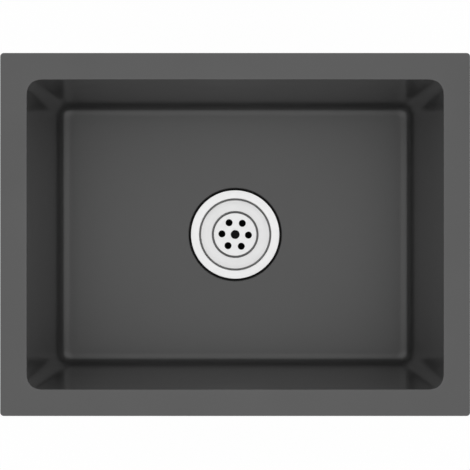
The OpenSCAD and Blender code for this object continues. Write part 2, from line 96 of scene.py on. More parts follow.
def fall_to_drain(outer, steps, drop):
    """Floor between the bowl's last rectangular row and the round drain recess. Each point runs straight
    from the rectangle to the circle in its own direction. Its height falls by an S-curve: the drop times
    the square of its share of the way, times three less twice that share."""
    share = np.linspace(0, 1, steps + 1)[1:, None]
    length = np.hypot(outer[:, 0], outer[:, 1])
    x = (1 - share) * outer[:, 0] + share * DRAIN_EDGE * outer[:, 0] / length
    y = (1 - share) * outer[:, 1] + share * DRAIN_EDGE * outer[:, 1] / length
    z = outer[:, 2] - drop * share**2 * (3 - 2 * share)
    return np.stack([x, y, z], axis=-1)


def round_rows(rows, directions):
    """Circles round the drain: each row is (radius, height). A point is its radius times the unit vector
    of the floor's point that it continues."""
    radius, height = np.array(rows, float).T[:, :, None]
    unit = directions[:, :2] / np.hypot(directions[:, 0], directions[:, 1])[:, None]
    flat = radius[:, :, None] * unit[None]
    return np.concatenate([flat, np.broadcast_to(height[:, :, None], (*flat.shape[:2], 1))], axis=-1)


def cells(rows, turns, close_rows, close_turns, first=0):
    """Four-sided faces of a grid of points, numbered row by row; either way may close on itself."""
    row, turn = np.meshgrid(
        np.arange(rows if close_rows else rows - 1),
        np.arange(turns if close_turns else turns - 1),
        indexing="ij",
    )
    below, beside = (row + 1) % rows, (turn + 1) % turns
    corners = [row * turns + turn, row * turns + beside, below * turns + beside, below * turns + turn]
    return first + np.stack(corners, axis=-1).reshape(-1, 4)


def grid_piece(name, body, slot, replaced, finish, *grids, close_rows=True):
    """Makes a piece of grids of points in millimetres, each closed round its turns. Points that fall
    together, as at a pole, merge."""
    points = np.concatenate([g.reshape(-1, 3) for g in grids]) * MM
    starts = np.cumsum([0] + [g.shape[0] * g.shape[1] for g in grids])
    faces = np.concatenate([cells(*g.shape[:2], close_rows, True, s) for g, s in zip(grids, starts)])
    mesh = bpy.data.meshes.new(name)
    mesh.from_pydata(points.tolist(), [], faces.tolist())
    return finish_piece(name, mesh, body, replaced, finish)


def finish_piece(name, mesh, body, replaced, finish, merge=1e-7):
    """Merges a mesh's double points, shades it smooth, gives it its finish, hangs it under its body's empty
    and hides the CAD nodes that it replaces.
    """
    work = bmesh.new()
    work.from_mesh(mesh)
    bmesh.ops.remove_doubles(work, verts=work.verts, dist=merge)
    work.to_mesh(mesh)
    work.free()
    mesh.shade_smooth()
    mesh.materials.append(finish)
    piece = bpy.data.objects.new(name, mesh)
    bpy.context.scene.collection.objects.link(piece)
    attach(piece, body)
    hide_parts(*replaced)
    return piece


def new_finish(name, values=None):
    """A material with its own surface shader, whose sockets take the values that are even all over."""
    finish = bpy.data.materials.new(name)
    finish.use_nodes = True
    shader = finish.node_tree.nodes["Principled BSDF"]
    for key, value in (values or {}).items():
        shader.inputs[key].default_value = value
    return finish, finish.node_tree, shader


def add(tree, kind, inputs=None, **settings):
    """Adds one node, sets its own settings, and sets or links its inputs by name or number."""
    node = tree.nodes.new(kind)
    for key, value in settings.items():
        setattr(node, key, value)
    for key, value in (inputs or {}).items():
        if isinstance(value, bpy.types.NodeSocket):
            tree.links.new(value, node.inputs[key])
        else:
            node.inputs[key].default_value = value
    return node


def between(tree, amount, low, high):
    """Turns a 0 to 1 mask into a value that runs evenly from low to high."""
    return add(tree, "ShaderNodeMapRange", {"Value": amount, "To Min": low, "To Max": high}).outputs[0]


def rough_by(tree, shader, amount, low, high):
    """Gives the shader a roughness that a 0 to 1 mask turns from low to high."""
    tree.links.new(between(tree, amount, low, high), shader.inputs["Roughness"])


def colour_by(tree, shader, amount, dark, light):
    """Gives the shader a colour that a 0 to 1 mask mixes from dark to light."""
    mix = add(tree, "ShaderNodeMix", data_type="RGBA")
    tree.links.new(amount, mix.inputs["Factor"])
    mix_a, mix_b = (s for s in mix.inputs if s.type == "RGBA")
    mix_a.default_value, mix_b.default_value = (*dark, 1), (*light, 1)
    mixed = next(s for s in mix.outputs if s.type == "RGBA")
    tree.links.new(mixed, shader.inputs["Base Color"])


def stretched(tree, noise):
    """Stretches a noise, whose values keep near their middle, to about the whole of 0 to 1."""
    ends = {"From Min": 0.3, "From Max": 0.7}
    return add(tree, "ShaderNodeMapRange", {"Value": noise, **ends}).outputs[0]


def make_cloud_and_grain():
    """Group for every finish here. Cloud is a broad, slow change over the surface, Grain is its fine
    tooth; both run from about 0 to 1 and read the piece's own coordinates."""
    group = bpy.data.node_groups.new("cloud_and_grain", "ShaderNodeTree")
    for name, value in (("Cloud Scale", 9.0), ("Grain Scale", 900.0)):
        socket = group.interface.new_socket(name, in_out="INPUT", socket_type="NodeSocketFloat")
        socket.default_value = value
    for name in ("Cloud", "Grain"):
        group.interface.new_socket(name, in_out="OUTPUT", socket_type="NodeSocketFloat")
    given, given_out = add(group, "NodeGroupInput"), add(group, "NodeGroupOutput")
    place = add(group, "ShaderNodeTexCoord").outputs["Object"]
    for name, detail in (("Cloud", 3.0), ("Grain", 2.0)):
        noise = add(
            group,
            "ShaderNodeTexNoise",
            {"Vector": place, "Scale": given.outputs[f"{name} Scale"], "Detail": detail},
        )
        group.links.new(stretched(group, noise.outputs[0]), given_out.inputs[name])
    return group


cloud_and_grain = make_cloud_and_grain()


def grained(tree, cloud_scale, grain_scale):
    """Places the cloud and grain group in one finish with its own scales."""
    scales = {"Cloud Scale": cloud_scale, "Grain Scale": grain_scale}
    node = add(tree, "ShaderNodeGroup", scales, node_tree=cloud_and_grain)
    return node.outputs["Cloud"], node.outputs["Grain"]


def tooth(tree, shader, height, strength, depth):
    """Turns a height mask into the shader's surface relief."""
    bump = add(tree, "ShaderNodeBump", {"Height": height, "Strength": strength, "Distance": depth})
    tree.links.new(bump.outputs[0], shader.inputs["Normal"])


def make_gunmetal():
    """Dark gun-metal coat: a thin metallic layer that keeps the satin of the sheet below it."""
    coat = {"Metallic": 0.44, "Coat Weight": 1.0, "Coat IOR": 1.27, "Coat Roughness": 0.18}
    finish, tree, shader = new_finish("gunmetal_coat", coat)
    cloud, grain = grained(tree, 11.0, 1400.0)
    colour_by(tree, shader, cloud, (0.072,) * 3, (0.078,) * 3)
    rough_by(tree, shader, cloud, 0.39, 0.42)
    tooth(tree, shader, grain, 0.05, 0.0001)
    return finish


def make_sprayed():
    """Rough dark spray on the bowl's outside that damps the drumming of water."""
    finish, tree, shader = new_finish("sprayed_damping_coat")
    cloud, grain = grained(tree, 30.0, 420.0)
    colour_by(tree, shader, grain, (0.05, 0.051, 0.053), (0.085, 0.086, 0.09))
    rough_by(tree, shader, cloud, 0.72, 0.9)
    tooth(tree, shader, grain, 0.55, 0.0004)
    return finish


gunmetal, sprayed = make_gunmetal(), make_sprayed()

RIM_CORNER, EDGE_R, LIP_LOW = 4.0, 0.4, 0.3
BACK_TOP, BACK_LOW = 15.0, 13.4
SOFT_TOP, SOFT_LOW, SOFT_POWER = 19.4, 17.8, 2.6
SOFT_BEND, SOFT_DROP, MOUTH_IN, FOOT_IN = 1.0, 0.06, 0.66, 0.22
MOUTH_BEND, WALL_LEAN, FLOOR_BEND = 2.4, 8.3, 11.7
LEAN_TOP, BEND_TOP = RIM_TOP - MOUTH_BEND, FLOOR + FLOOR_BEND
LEAN = np.arctan(WALL_LEAN / (LEAN_TOP - BEND_TOP))
FLOOR_INSET = BAND + WALL_LEAN + FLOOR_BEND
CUT_EDGE = [(0.25, 0.0), (0.07, 0.07), (0.0, 0.25)]


def edge_row(inset, height):
    """Row on the rim's folded edge, whose corner radius shrinks by as much as the inset grows."""
    return inset, RIM_CORNER - inset, height


def wall_rows(start, end, steps):
    """Straight wall between two rows, in which inset, corner radius and height all change evenly."""
    return list(np.linspace(start, end, steps + 1))


def mouth_rows(corner, wall_inset, top, bend, steps):
    """The bend from the rim to the wall: inset and height follow the cosine and sine of its angle, and
    the corner radius grows by as much as the inset shrinks."""
    sin_m, cos_m = quarter(90, 0, steps)
    inset = wall_inset - bend * (1 - cos_m)
    return list(zip(inset, corner + BAND - inset, top - bend * (1 - sin_m)))


def foot_rows(corner, floor_inset, bend, steps):
    """The bend from wall to floor, from where it leaves the leaning wall to where it meets the floor.
    Inset, corner radius and height follow the sine and cosine of its angle."""
    sin_f, cos_f = quarter(np.degrees(LEAN), 90, steps)
    radius = corner - FLOOR_BEND + bend * cos_f
    return list(zip(floor_inset - bend * cos_f, radius, BEND_TOP - bend * sin_f))


sin_e, cos_e = quarter(90, 0, 6)
outer_lip = [edge_row(inset, LIP_LOW + rise) for inset, rise in CUT_EDGE]
outer_lip += [edge_row(0, 1.2), edge_row(0, RIM_TOP - EDGE_R - 0.1)]
outer_lip += [edge_row(EDGE_R * (1 - s), RIM_TOP - EDGE_R * (1 - c)) for s, c in zip(sin_e, cos_e)]
band = [(EDGE_R + 0.4, RIM_CORNER - EDGE_R, RIM_TOP), (8, 6, RIM_TOP), (16, 9, RIM_TOP)]
mouth = mouth_rows(SOFT_TOP, BAND + MOUTH_IN, RIM_TOP - SOFT_DROP, SOFT_BEND, 10)
mouth_inset, mouth_corner, _ = mouth[0]
lead_in = [
    (mouth_inset - before, mouth_corner + before, RIM_TOP - drop)
    for before, drop in ((2.4, 0.0), (1.2, 0.0), (0.6, 0.02))
]
foot = foot_rows(SOFT_LOW, FLOOR_INSET + FOOT_IN, FLOOR_BEND, 24)
wall = wall_rows(mouth[-1], foot[0], 30)[1:-1]
rim = rounded_rows(outer_lip + band)
inside = np.concatenate([rim, rounded_rows(lead_in + mouth + wall + foot, power=SOFT_POWER)])
floor = fall_to_drain(inside[-1], 44, FALL)
directions = floor[-1]

LIP_R, RECESS_R, DRAIN_HOLE = 1.5, 57.0, 45.0
RECESS_BEND, BEND_AT = 0.6, 56.6
RECESS_FLOOR = FLOOR - FALL - 3.5
RECESS_UNDER = RECESS_FLOOR - SHEET


def recess_side(grow):
    """Side of the recess on the sheet's upper face, or grow below it: the arc over its lip, then the arc
    at its foot. Both keep their centres, and the radius of one shrinks as the other's grows."""
    sin_l, cos_l = quarter(0, 90, 10)
    sin_s, cos_s = quarter(90, 0, 5)
    lip_r, bend_r = LIP_R - grow, RECESS_BEND + grow
    lip = zip(RECESS_R + LIP_R - lip_r * sin_l, FLOOR - FALL - LIP_R + lip_r * cos_l)
    bend = zip(BEND_AT + bend_r * sin_s, RECESS_FLOOR + RECESS_BEND - bend_r * cos_s)
    return [*lip, *bend]


recess = [(DRAIN_EDGE - 1.2, FLOOR - FALL), *recess_side(0)]
recess += [(56, RECESS_FLOOR), (50, RECESS_FLOOR), (45.6, RECESS_FLOOR)]
recess += [(DRAIN_HOLE + out, RECESS_FLOOR - down) for out, down in CUT_EDGE]
shown_rows = len(inside) + len(floor) + len(recess)
recess += [(DRAIN_HOLE + out, RECESS_UNDER + up) for out, up in CUT_EDGE[::-1]]
recess += [(46, RECESS_UNDER), (56, RECESS_UNDER), *recess_side(SHEET)[::-1]]

outer_foot = foot_rows(BACK_LOW, FLOOR_INSET, FLOOR_BEND + SHEET, 20)[::-1]
back = wall_rows(outer_foot[-1], (BAND - SHEET, BACK_TOP + SHEET, LEAN_TOP), 24)[1:-1]
fold_z = RIM_TOP - SHEET
under = mouth_rows(BACK_TOP, BAND - SHEET, fold_z, MOUTH_BEND - SHEET, 6)[::-1]
under += [(BAND - MOUTH_BEND - 0.8, BACK_TOP + 3, fold_z), (16, 9, fold_z), (SHEET + 1, 2.6, fold_z)]
under += [(SHEET + 0.25, 2.6, fold_z - 0.05), edge_row(SHEET, fold_z - 0.3)]
under += [edge_row(SHEET - inset, LIP_LOW + rise) for inset, rise in CUT_EDGE[::-1]]
outside = rounded_rows(outer_foot + back + under)
underside = fall_to_drain(outside[0], 24, FALL)[::-1]
bowl_rows = np.concatenate([inside, floor, round_rows(recess, directions), underside, outside])
bowl = grid_piece("bowl_shell", "sink", "coated_steel", ["bowl"], gunmetal, bowl_rows)
bowl.data.materials.append(sprayed)
row_of_face = np.arange(len(bowl.data.polygons)) // bowl_rows.shape[1]
bowl.data.polygons.foreach_set("material_index", (row_of_face >= shown_rows).astype(np.int32))


# Rim seal: a strip of black closed-cell foam, stuck under the rim just inside its folded edge. It
# rests on the worktop.

def make_foam():
    """Closed-cell foam: dark, dull, with small cells all over."""
    finish, tree, shader = new_finish("black_foam")
    cloud, grain = grained(tree, 60.0, 1500.0)
    colour_by(tree, shader, grain, (0.018,) * 3, (0.045,) * 3)
    rough_by(tree, shader, cloud, 0.82, 0.95)
    tooth(tree, shader, grain, 0.6, 0.0003)
    return finish


SEAL_OUT, SEAL_IN, SEAL_CORNER, SEAL_TOP = 2.0, 8.0, 2.0, RIM_TOP - SHEET
seal_side = [(0.6, 0), (0.3, 0), (0.05, 0.12), (0, 0.35), (0, SEAL_TOP - 0.3), (0.1, SEAL_TOP - 0.08)]
seal_side += [(0.3, SEAL_TOP), (0.6, SEAL_TOP)]
seal = [(SEAL_OUT + inward, SEAL_CORNER, height) for inward, height in seal_side]
seal += [(SEAL_IN - outward, SEAL_CORNER, height) for outward, height in seal_side[::-1]]
grid_piece("foam_seal", "sink", "seal_foam", ["rim_seal"], make_foam(), rounded_rows(seal))


# Sound pads: slabs of matt bitumen rubber, glued to the walls and under the floor, where they damp
# the noise of running water. Their edges are soft from the cutting die.

PAD = 2.5


def make_pad_rubber():
    """Bitumen rubber: matt dark grey, pebbled by the calender's roller."""
    finish, tree, shader = new_finish("pebbled_pad_rubber")
    cloud, grain = grained(tree, 40.0, 260.0)
    place = add(tree, "ShaderNodeTexCoord").outputs["Object"]
    pebble = add(tree, "ShaderNodeTexVoronoi", {"Vector": place, "Scale": 420.0}, feature="SMOOTH_F1")
    both = add(tree, "ShaderNodeMath", {0: pebble.outputs["Distance"], 1: grain}, operation="ADD")
    colour_by(tree, shader, cloud, (0.05, 0.05, 0.052), (0.075, 0.075, 0.078))
    rough_by(tree, shader, grain, 0.78, 0.92)
    tooth(tree, shader, both.outputs[0], 0.5, 0.0005)
    return finish


def pad_slab(length, width, corner=10.0):
    """Slab with soft edges: rings from the middle of its glued face out to the outline, up its edge, and
    back to the middle of its open face. Each face is its outermost ring times scales from 0.94 to 0."""
    walk = walk_round(20, 16, 8)
    edge = [(0.5, 0.0), (0.14, 0.12), (0.0, 0.5), (0.0, PAD - 0.7)]
    edge += [(0.06, PAD - 0.3), (0.25, PAD - 0.08), (0.6, PAD)]
    sides = rounded_rows([(inset, corner, height) for inset, height in edge], (length, width), walk)
    inner = np.linspace(0.94, 0, 12)[:, None, None]
    shrink = np.concatenate([inner, inner, 0 * inner + 1], axis=-1)
    return np.concatenate([(sides[0] * shrink)[::-1], sides, sides[-1] * shrink])


def floor_under(x, y):
    """Height of the floor's underside: its share of the way from the wall's foot to the drain recess,
    along the ray from the middle, put through the same S-curve as the floor."""
    reach = np.minimum(
        (SINK[0] / 2 - FLOOR_INSET) / np.maximum(np.abs(x), 1e-9),
        (SINK[1] / 2 - FLOOR_INSET) / np.maximum(np.abs(y), 1e-9),
    ) * np.hypot(x, y)
    share = np.clip((reach - np.hypot(x, y)) / (reach - DRAIN_EDGE), 0, 1)
    return FLOOR - SHEET - FALL * share**2 * (3 - 2 * share)


def lean_at(height):
    """How far the leaning wall stands inside its place at the bowl's mouth."""
    return (LEAN_TOP - height) * np.tan(LEAN)


pad_rubber = make_pad_rubber()
PAD_MARGIN, PAD_HEIGHT, PAD_MIDDLE = 75.0, 84.0, -122.0
long_pad, short_pad = (pad_slab(side - 2 * (BAND + PAD_MARGIN), PAD_HEIGHT) for side in SINK)
walls = {
    "front": (long_pad, 0, -1),
    "back": (long_pad, 0, 1),
    "left": (short_pad, -1, 0),
    "right": (short_pad, 1, 0),
}
for side, (slab, out_x, out_y) in walls.items():
    along, up, out = slab[..., 0], slab[..., 1], slab[..., 2]
    wall_here = (SINK[0] if out_x else SINK[1]) / 2 - BAND + SHEET - lean_at(PAD_MIDDLE)
    reach = wall_here + up * np.sin(LEAN) + out * np.cos(LEAN)
    height = PAD_MIDDLE + up * np.cos(LEAN) - out * np.sin(LEAN)
    x, y = out_x * reach - out_y * along, out_y * reach + out_x * along
    stuck = np.stack([x, y, height], axis=-1)
    grid_piece(
        f"sound_pad_{side}", "sink", "sound_rubber", [f"pad_{side}"], pad_rubber, stuck, close_rows=False
    )

FLOOR_PAD, FLOOR_PAD_X = (110.0, 220.0), 138.0
floor_slab = pad_slab(*FLOOR_PAD)
stuck = []
for side in (-1, 1):
    x, y = floor_slab[..., 0] + side * FLOOR_PAD_X, -floor_slab[..., 1]
    stuck.append(np.stack([x, y, floor_under(x, y) - floor_slab[..., 2]], axis=-1))
grid_piece("sound_pads_floor", "sink", "sound_rubber", ["floor_pads"], pad_rubber, *stuck, close_rows=False)


# Strainer cup: bright stainless steel, deep-drawn and turned, with a flange that lies in the drain
# recess, a ledge for the basket, a sloping seat for its stopper and a threaded outside.

FLANGE = -200.3
TURNS = 160


def eased(corners, radii, steps=4, closed=True):
    """Softens the corners of an outline: each becomes a short parabola, tangent to both its sides, that
    starts and ends its radius away, or 0.42 of its shorter side where that is less. A point at 1.15
    times that distance keeps the flat sides flat."""
    at = np.array(corners, float)
    radius = np.broadcast_to(np.array(radii, float), len(at))[:, None]
    before, after = np.roll(at, 1, axis=0) - at, np.roll(at, -1, axis=0) - at
    length = np.minimum(np.linalg.norm(before, axis=1), np.linalg.norm(after, axis=1))[:, None]
    cut = np.minimum(radius, 0.42 * length)
    before /= np.linalg.norm(before, axis=1)[:, None]
    after /= np.linalg.norm(after, axis=1)[:, None]
    s = np.linspace(0, 1, steps + 1)[None, :, None]
    bend = at[:, None] + cut[:, None] * ((1 - s) ** 2 * before[:, None] + s**2 * after[:, None])
    first, last = at + 1.15 * cut * before, at + 1.15 * cut * after
    soft = np.concatenate([first[:, None], bend, last[:, None]], axis=1)
    if not closed:
        soft[0], soft[-1] = at[0], at[-1]
    soft = soft.reshape(-1, 2)
    apart = np.linalg.norm(soft - np.roll(soft, 1, axis=0), axis=1) > 1e-4
    apart[0] = apart[0] or not closed
    return soft[apart]


def turned(outline, turns=TURNS, ripple=None):
    """Carries an outline of (radius, height) round the Z axis. Where ripple is given, it takes the
    angle and height of every point and returns what comes off its radius, as a thread does."""
    radius, height = np.array(outline, float).T[:, :, None]
    angle = np.linspace(0, 2 * np.pi, turns, endpoint=False)[None]
    if ripple is not None:
        radius = radius - ripple(angle, height)
    x, y = radius * np.cos(angle), radius * np.sin(angle)
    return np.stack([x, y, height + 0 * x], axis=-1)


def thread_cut(angle, height, pitch, depth, low, high):
    """Depth of a right-hand thread: a zigzag of the height in pitches less the share of a turn, with its
    crests and roots cut flat, and faded in over one pitch at both ends."""
    phase = (height / pitch - angle / (2 * np.pi)) % 1
    zigzag = np.clip(np.abs(2 * phase - 1) * 1.5 - 0.25, 0, 1)
    fade = np.clip((height - low) / pitch, 0, 1) * np.clip((high - height) / pitch, 0, 1)
    return depth * zigzag * fade


def make_turned_lines():
    """Group: the fine rings that turning and polishing leave round the Z axis, 0 to 1. It reads how far
    a point lies from the axis and how high, and next to nothing of its direction."""
    group = bpy.data.node_groups.new("turned_lines", "ShaderNodeTree")
    scale = group.interface.new_socket("Scale", in_out="INPUT", socket_type="NodeSocketFloat")
    scale.default_value = 1800.0
    group.interface.new_socket("Lines", in_out="OUTPUT", socket_type="NodeSocketFloat")
    given, given_out = add(group, "NodeGroupInput"), add(group, "NodeGroupOutput")
    place = add(group, "ShaderNodeTexCoord").outputs["Object"]
    split = add(group, "ShaderNodeSeparateXYZ", {"Vector": place})
    flat = add(group, "ShaderNodeCombineXYZ", {"X": split.outputs["X"], "Y": split.outputs["Y"]})
    radius = add(group, "ShaderNodeVectorMath", {0: flat.outputs[0]}, operation="LENGTH")
    unit = add(group, "ShaderNodeVectorMath", {0: flat.outputs[0]}, operation="NORMALIZE")
    slow = add(group, "ShaderNodeVectorMath", {0: unit.outputs[0], "Scale": 0.0012}, operation="SCALE")
    line = add(group, "ShaderNodeCombineXYZ", {"X": radius.outputs["Value"], "Z": split.outputs["Z"]})
    both = add(group, "ShaderNodeVectorMath", {0: line.outputs[0], 1: slow.outputs[0]}, operation="ADD")
    noise = add(
        group,
        "ShaderNodeTexNoise",
        {"Vector": both.outputs[0], "Scale": given.outputs["Scale"], "Detail": 3.0},
    )
    group.links.new(stretched(group, noise.outputs[0]), given_out.inputs["Lines"])
    return group


turned_lines = make_turned_lines()


def shade_and_dull_band(tree, low, high, fade=0.15):
    """Mask for a band of heights, in millimetres, where a finish gets painted shade and a rougher polish: 1
    between the two, 0 outside them, fading evenly over twice the fade at each."""
    place = add(tree, "ShaderNodeTexCoord").outputs["Object"]
    height = add(tree, "ShaderNodeSeparateXYZ", {"Vector": place}).outputs["Z"]
    sides = []
    for edge, first, last in ((low, 0.0, 1.0), (high, 1.0, 0.0)):
        ends = {"From Min": (edge - fade) * MM, "From Max": (edge + fade) * MM}
        ends.update({"Value": height, "To Min": first, "To Max": last})
        sides.append(add(tree, "ShaderNodeMapRange", ends).outputs[0])
    return add(tree, "ShaderNodeMath", {0: sides[0], 1: sides[1]}, operation="MULTIPLY").outputs[0]


def make_turned_steel(name, light, rough, shade_and_dull=None):
    """Bright stainless steel with turned rings in its tone, its polish and its relief. Where a band of two
    heights is given, it is rougher there, as it left the press, and its colour is darkened to 0.4 of the
    light tone: painted shade for the recess there."""
    finish, tree, shader = new_finish(name, {"Metallic": 1.0})
    cloud = grained(tree, 60.0, 2600.0)[0]
    lines = add(tree, "ShaderNodeGroup", {"Scale": 1700.0}, node_tree=turned_lines).outputs[0]
    mask = add(tree, "ShaderNodeMath", {0: lines, 1: cloud}, operation="MULTIPLY").outputs[0]
    tone = between(tree, mask, light - 0.05, light + 0.02)
    polish = between(tree, lines, rough, rough + 0.1)
    # painted shade: in the band the colour is darkened to 0.4 of the light tone to stand for shade in the
    # recess
    if shade_and_dull:
        shaded_unpolished = shade_and_dull_band(tree, *shade_and_dull)
        tone = between(tree, shaded_unpolished, tone, 0.4 * light)
        polish = between(tree, shaded_unpolished, polish, 0.55)
    tree.links.new(tone, shader.inputs["Base Color"])
    tree.links.new(polish, shader.inputs["Roughness"])
    tooth(tree, shader, lines, 0.12, 0.00004)
    return finish


# painted shade: the cup's inside below the flange is darkened, so that the gap round the basket's rim reads
# as shade
turned_steel = make_turned_steel("turned_stainless", 0.9, 0.36, (FLANGE - 70, FLANGE - 0.7))
CUP_R, OUTLET_IN, OUTLET_OUT, OUTLET_END = 42.2, 22.3, 23.3, -62.0
RUN_LOW, RUN_HIGH, RUN_STEPS, CUP_PITCH, CUP_THREAD = -30.0, -7.0, 93, 2.0, 0.45
cup_in = [(54.7, 0), (44.8, 0), (43.5, -1.3), (43.5, -3), (CUP_R - 1, -3), (CUP_R - 1, -32)]
cup_in += [(OUTLET_IN, -44), (OUTLET_IN, OUTLET_END)]
cup_low = [(OUTLET_OUT, OUTLET_END), (OUTLET_OUT, -44.62), (CUP_R, -32.62)]
cup_top = [(CUP_R, -4), (44.5, -4), (44.5, -1.3), (44.8, -1), (54.7, -1)]
in_radii, low_radii = [0.3, 0.75, 0.75, 0.25, 0.5, 2.0, 2.0, 0.3], [0.3, 1.5, 1.5]
top_radii = [0.4, 0.4, 0.4, 0.3, 0.3]
whole = eased(cup_in + cup_low + cup_top, in_radii + low_radii + top_radii)
thread_run = np.stack([np.full(RUN_STEPS, CUP_R), np.linspace(RUN_LOW, RUN_HIGH, RUN_STEPS)], axis=1)
outer_half = np.arange(len(whole)) > len(whole) // 2
break_at = int(np.argmax((whole[:, 0] > CUP_R - 0.1) & (whole[:, 1] > -5) & outer_half))
cup_outline = np.concatenate([whole[:break_at], thread_run, whole[break_at:]]) + [0, FLANGE]


def cup_thread(angle, height):
    """The cup's outside thread for its lock nut, cut only where the outline has the straight wall's
    radius."""
    on_run = np.abs(cup_outline[:, :1] - CUP_R) < 1e-6
    low, high = FLANGE + RUN_LOW + 1, FLANGE + RUN_HIGH - 1
    return on_run * thread_cut(angle, height, CUP_PITCH, CUP_THREAD, low, high)


cup_points = turned(cup_outline, ripple=cup_thread)
grid_piece("strainer_flange_cup", "sink", "bright_steel", ["strainer_cup"], turned_steel, cup_points)


# Rubber rings of the strainer: the gasket under its flange, whose lip shows as a black line round it,
# and the thicker gasket under the bowl. Both are moulded and pinched by the lock nut.

def make_rubber():
    """Moulded rubber: black, softly glossy, with a little bloom."""
    finish, tree, shader = new_finish("black_rubber", {"Specular IOR Level": 0.08})
    cloud, grain = grained(tree, 70.0, 1800.0)
    colour_by(tree, shader, cloud, (0.003,) * 3, (0.007,) * 3)
    rough_by(tree, shader, cloud, 0.48, 0.62)
    tooth(tree, shader, grain, 0.15, 0.0001)
    return finish


def flat_ring(inner, outer, low, high, soft=0.3):
    """Outline of a flat ring with soft edges, anticlockwise with the radius to the right."""
    return eased([(outer, low), (outer, high), (inner, high), (inner, low)], soft)


rubber = make_rubber()
RING_BORE, GASKET_LOW = 44.8, RECESS_UNDER - 2.5
flange_ring = flat_ring(46, 56.9, RECESS_FLOOR, FLANGE - 1, 0.35)
under_ring = flat_ring(RING_BORE, 52, GASKET_LOW, RECESS_UNDER, 0.5)
grid_piece("flange_gasket_ring", "sink", "black_rubber", ["flange_gasket"], rubber, turned(flange_ring))
grid_piece("under_bowl_gasket", "sink", "black_rubber", ["sink_gasket"], rubber, turned(under_ring))


# Friction ring: pressed brown fibre between the rubber and the lock nut, so that the nut can turn
# without dragging the rubber along.

def make_fibre():
    """Pressed fibre: brown board with darker flecks."""
    finish, tree, shader = new_finish("pressed_fibre")
    cloud, grain = grained(tree, 90.0, 1100.0)
    colour_by(tree, shader, grain, (0.3, 0.19, 0.1), (0.5, 0.35, 0.2))
    rough_by(tree, shader, cloud, 0.75, 0.9)
    tooth(tree, shader, grain, 0.3, 0.0002)
    return finish


FIBRE_LOW = GASKET_LOW - 1
fibre_ring = flat_ring(RING_BORE, 51, FIBRE_LOW, GASKET_LOW, 0.15)
grid_piece("fibre_friction_ring", "sink", "fibre", ["friction_ring"], make_fibre(), turned(fibre_ring))


# Lock nut: a zinc-plated steel ring nut on the cup's thread. A wrench turns it by its eight square
# lugs, and it pulls the flange down on the bowl.

def make_zinc():
    """Zinc plate: pale blue-grey metal, cloudy, with a fine crystalline tooth."""
    finish, tree, shader = new_finish("zinc_plate", {"Metallic": 1.0})
    cloud, grain = grained(tree, 120.0, 1600.0)
    colour_by(tree, shader, cloud, (0.42, 0.44, 0.465), (0.58, 0.6, 0.625))
    rough_by(tree, shader, cloud, 0.34, 0.5)
    tooth(tree, shader, grain, 0.12, 0.0001)
    return finish


def lugged_outline(radius, reach, width, count, soft):
    """Outline of a ring nut seen from above: a circle with square lugs. Each lug gives four softened
    corners, and an arc joins its foot to the next lug's."""
    foot, tip = np.arcsin(width / 2 / radius), np.arcsin(width / 2 / (radius + reach))
    gap = np.linspace(foot, 2 * np.pi / count - foot, 9)
    angles = np.concatenate([[-tip, tip], gap])
    radii = np.concatenate([[radius + reach] * 2, [radius] * 9])
    turn = np.arange(count)[:, None] * 2 * np.pi / count
    angles, radii = (angles + turn).ravel(), np.tile(radii, count)
    softness = np.tile([soft] * 3 + [0.0] * 7 + [soft], count)
    return eased(np.stack([radii * np.cos(angles), radii * np.sin(angles)], axis=1), softness, 3)


def both_edges(edge, low, high):
    """Rows of a nut's side, (inset, height): the soft edge, (inset, rise), up from its low end and the
    same edge, turned over, down from its high end."""
    lower = [(inset, low + rise) for inset, rise in edge]
    upper = [(inset, high - rise) for inset, rise in edge[::-1]]
    return lower + upper


def ring_nut(outline, side, bore):
    """A nut's surface. A row of its side, (inset, height), is the outline drawn in towards the axis by
    the inset; a row of its bore, (radius, height), is a circle in the same directions."""
    far = np.linalg.norm(outline, axis=1)[:, None]
    rows = [(far - inset, height) for inset, height in side]
    rows += [(radius + 0 * far, height) for radius, height in bore]
    return np.stack([np.hstack([outline / far * reach, height + 0 * far]) for reach, height in rows])


zinc = make_zinc()
NUT_LOW, NUT_HIGH, NUT_BORE = FIBRE_LOW - 10, FIBRE_LOW, 42.25
nut_side = both_edges([(0.9, 0), (0.6, 0), (0.15, 0.15), (0, 0.6), (0, 0.8)], NUT_LOW, NUT_HIGH)
nut_hole = [(RING_BORE + 0.3, NUT_HIGH), (RING_BORE, NUT_HIGH - 0.2), (RING_BORE, NUT_HIGH - 1)]
nut_hole += [(NUT_BORE + 0.3, NUT_HIGH - 1), (NUT_BORE, NUT_HIGH - 1.4), (NUT_BORE, NUT_LOW + 0.6)]
nut_hole += [(NUT_BORE + 0.5, NUT_LOW), (NUT_BORE + 0.9, NUT_LOW)]
lock_points = ring_nut(lugged_outline(51, 6, 10, 8, 0.8), nut_side, nut_hole)
grid_piece("lugged_lock_nut", "sink", "zinc_steel", ["lock_nut"], zinc, lock_points)


# Outlet spider: a small cross with a hub, cut from stainless steel and welded across the outlet. The
# basket's stem slides in its hub.

